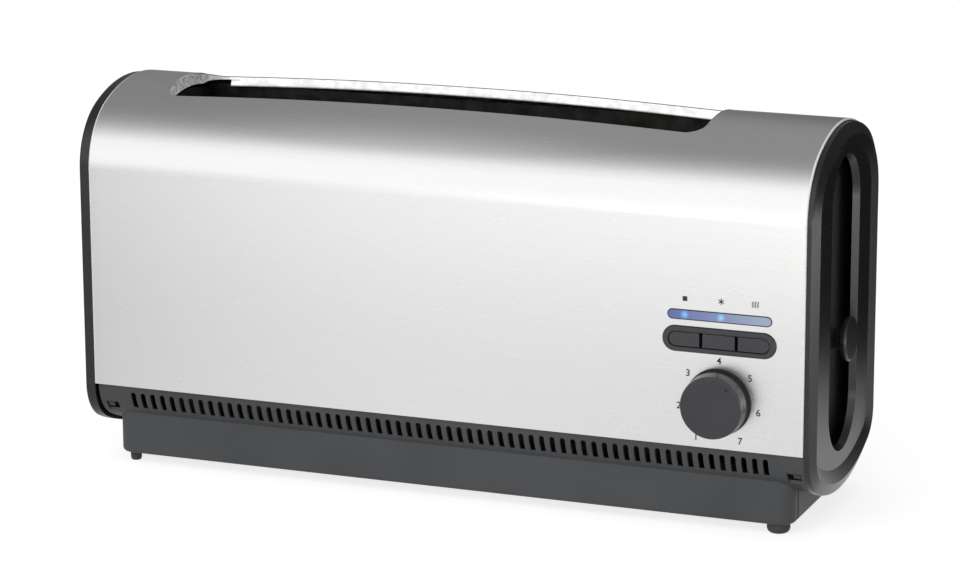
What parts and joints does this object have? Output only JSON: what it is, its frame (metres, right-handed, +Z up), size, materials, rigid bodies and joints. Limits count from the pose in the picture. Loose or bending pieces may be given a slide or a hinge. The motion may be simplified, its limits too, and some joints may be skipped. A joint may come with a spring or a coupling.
{
  "type": "long slot toaster",
  "caption": "Long slot toaster: arched steel shell between dark end caps on a vented base, with an end lever, a browning dial and push keys.",
  "frame": {"origin": "on the table under the middle of the toaster's bounding box", "axes": "+Z up, +X along the slot towards the lever end, -Y towards the user at the control side"},
  "size_m": [0.3828, 0.1248, 0.1922],
  "materials": {
    "shell_steel": "brushed",
    "liner_steel": "polished",
    "cap_plastic": "fine moulded texture",
    "base_plastic": "fine moulded texture",
    "foot_rubber": "matte",
    "knob_plastic": "satin",
    "bezel_plastic": "satin",
    "black_plate": "matte black",
    "chamber_steel": "heat-darkened",
    "wire_steel": "satin",
    "mica": "flaky",
    "ribbon_metal": "oxidised",
    "zinc_steel": "zinc plated",
    "copper": "bright",
    "nylon": "satin",
    "board_laminate": "satin",
    "dark_parts": "moulded",
    "lamp_resin": "clear",
    "window_resin": "translucent"
  },
  "bodies": {
    "housing": {"steel_shell": "shell_steel", "slot_liner": "liner_steel", "end_cap_left": "cap_plastic", "end_cap_right": "cap_plastic", "base_housing": "base_plastic", "peg_foot_front": "base_plastic", "peg_foot_rear": "base_plastic", "cord_gland": "base_plastic", "rubber_foot_front": "foot_rubber", "rubber_foot_rear": "foot_rubber", "dial_collar": "knob_plastic", "key_bezel": "bezel_plastic", "lever_guide_plate": "black_plate", "reflector_front": "chamber_steel", "reflector_rear": "chamber_steel", "chamber_end_left": "chamber_steel", "chamber_end_right": "chamber_steel", "mica_board_front": "mica", "mica_board_rear": "mica", "heating_ribbon_front": "ribbon_metal", "heating_ribbon_rear": "ribbon_metal", "guide_rods": "zinc_steel", "rod_bracket": "zinc_steel", "lift_spring": "zinc_steel", "magnet_core": "zinc_steel", "board_screws": "zinc_steel", "magnet_coil": "copper", "mains_contacts": "copper", "terminal_block": "nylon", "power_board": "board_laminate", "control_board": "board_laminate", "board_parts": "dark_parts", "panel_frame": "dark_parts", "timer_control": "dark_parts", "key_switches": "dark_parts", "indicator_lamps": "lamp_resin", "lamp_window": "window_resin"},
    "lift": {"bread_rack": "wire_steel", "lift_carriage": "nylon", "lever_arm": "zinc_steel", "armature_plate": "zinc_steel", "contact_bridge": "copper", "lever_knob": "knob_plastic"},
    "front_guide": {"bread_guide_front": "wire_steel"},
    "rear_guide": {"bread_guide_rear": "wire_steel"},
    "dial": {"timer_dial": "knob_plastic", "dial_spindle": "zinc_steel"},
    "stop": {"stop_key": "knob_plastic"},
    "defrost": {"defrost_key": "knob_plastic"},
    "reheat": {"reheat_key": "knob_plastic"},
    "tray": {"crumb_tray": "zinc_steel", "tray_grip": "base_plastic"}
  },
  "joints": [
    {"name": "lever_slide", "type": "slide", "parent": "housing", "child": "lift", "axis": [0, 0, 1], "range_m": [0, 0.072], "deforming": ["lift_spring"]},
    {"name": "front_guide_swing", "type": "hinge", "parent": "housing", "child": "front_guide", "pos_m": [-0.01525, -0.01465, 0.024], "axis": [1, 0, 0], "range_deg": [0, 4.5]},
    {"name": "rear_guide_swing", "type": "hinge", "parent": "housing", "child": "rear_guide", "pos_m": [-0.01525, 0.02735, 0.024], "axis": [-1, 0, 0], "range_deg": [0, 4.5]},
    {"name": "dial_turn", "type": "hinge", "parent": "housing", "child": "dial", "pos_m": [0.14325, -0.05365, 0.0656], "axis": [0, 1, 0], "range_deg": [-188.5, 109.5]},
    {"name": "tray_slide", "type": "slide", "parent": "housing", "child": "tray", "axis": [0, 1, 0], "range_m": [0, 0.085]},
    {"name": "stop_press", "type": "slide", "parent": "housing", "child": "stop", "axis": [0, 1, 0], "range_m": [0, 0.0018], "stiffness_N_per_m": 400, "springref_m": -0.002},
    {"name": "defrost_press", "type": "slide", "parent": "housing", "child": "defrost", "axis": [0, 1, 0], "range_m": [0, 0.0018], "stiffness_N_per_m": 400, "springref_m": -0.002},
    {"name": "reheat_press", "type": "slide", "parent": "housing", "child": "reheat", "axis": [0, 1, 0], "range_m": [0, 0.0018], "stiffness_N_per_m": 400, "springref_m": -0.002}
  ],
  "couplings": [
    {"joint": "front_guide_swing", "follows": "lever_slide", "rad_per_m": 1.0787},
    {"joint": "rear_guide_swing", "follows": "lever_slide", "rad_per_m": 1.0787}
  ]
}
